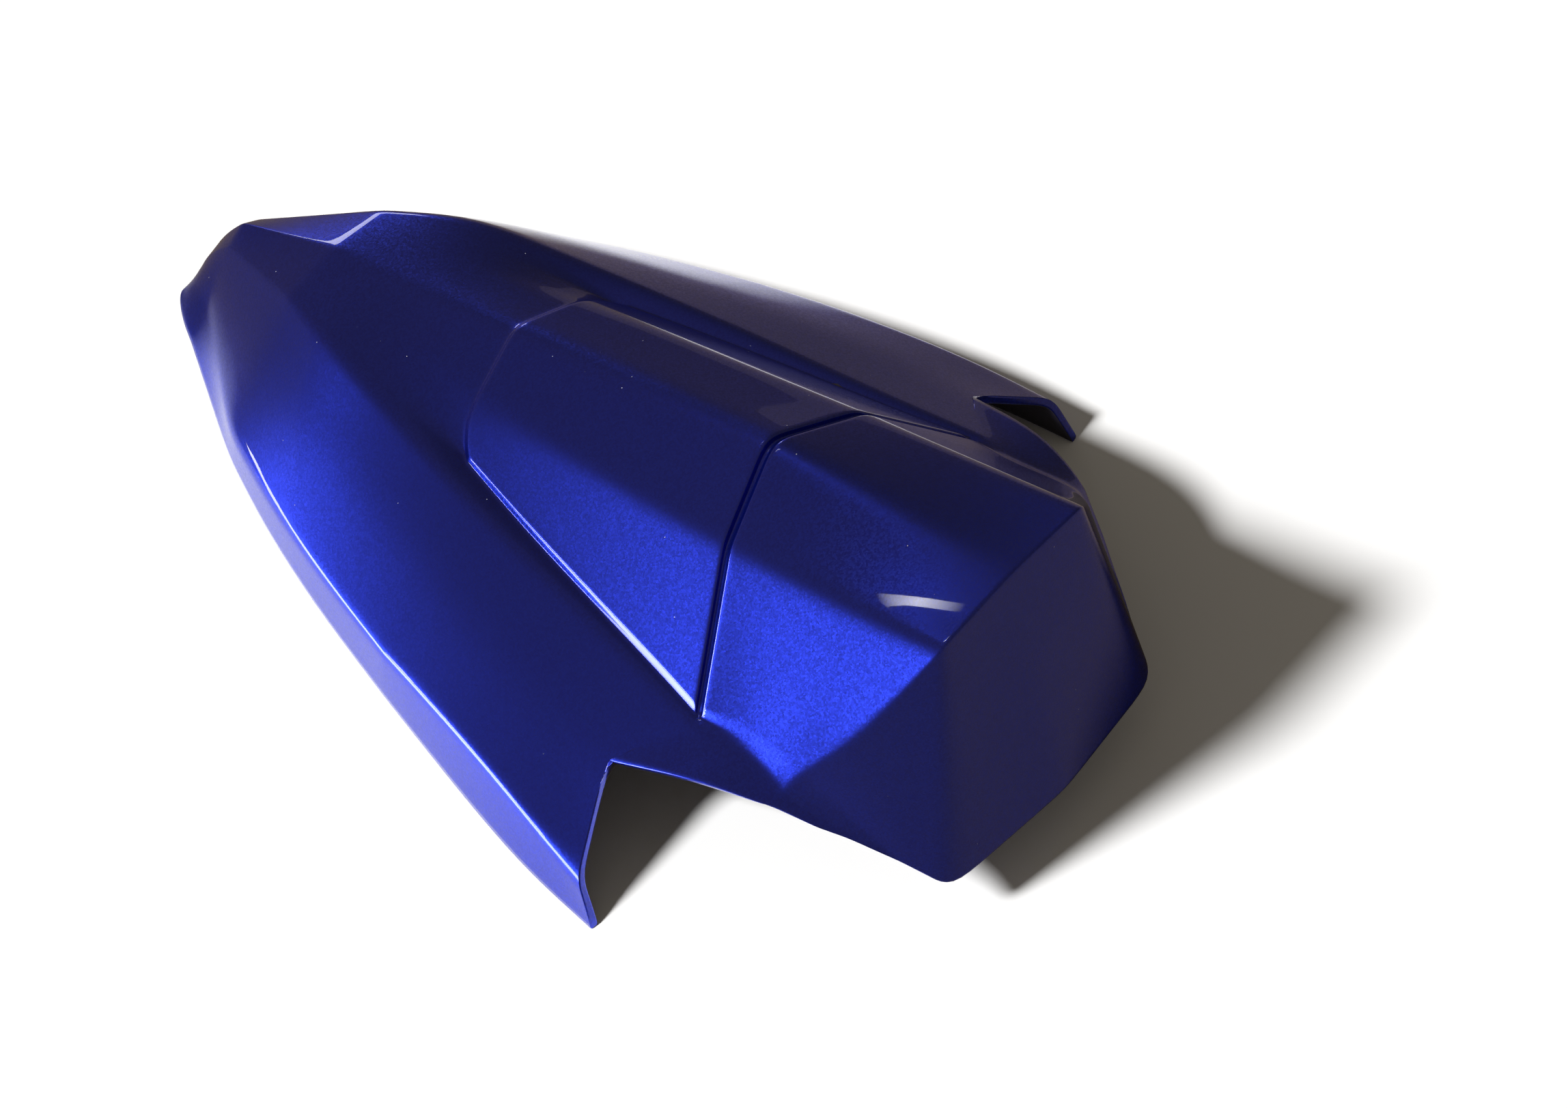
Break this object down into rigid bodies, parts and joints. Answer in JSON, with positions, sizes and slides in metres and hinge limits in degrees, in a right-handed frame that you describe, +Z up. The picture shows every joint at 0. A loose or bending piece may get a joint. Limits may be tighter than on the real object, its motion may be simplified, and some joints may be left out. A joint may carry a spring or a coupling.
{
  "type": "seat cowl",
  "caption": "Painted seat cowl for a motorbike tail: a moulded shell with a raised pad and bolster, pointed side wings and a faceted tail, open underneath, that covers the rear seat.",
  "frame": {"origin": "middle of the part's box in plan, on the surface that the wing tips and the rim rest on", "axes": "+Y towards the tail, +X towards the wing on the right when looking at the tail from the rider's side, +Z up"},
  "size_m": [0.26, 0.3784, 0.1211],
  "materials": {
    "painted_plastic": "blue metallic paint under a glossy clear coat"
  },
  "bodies": {
    "root": {"cowl_shell": "painted_plastic"}
  },
  "joints": []
}
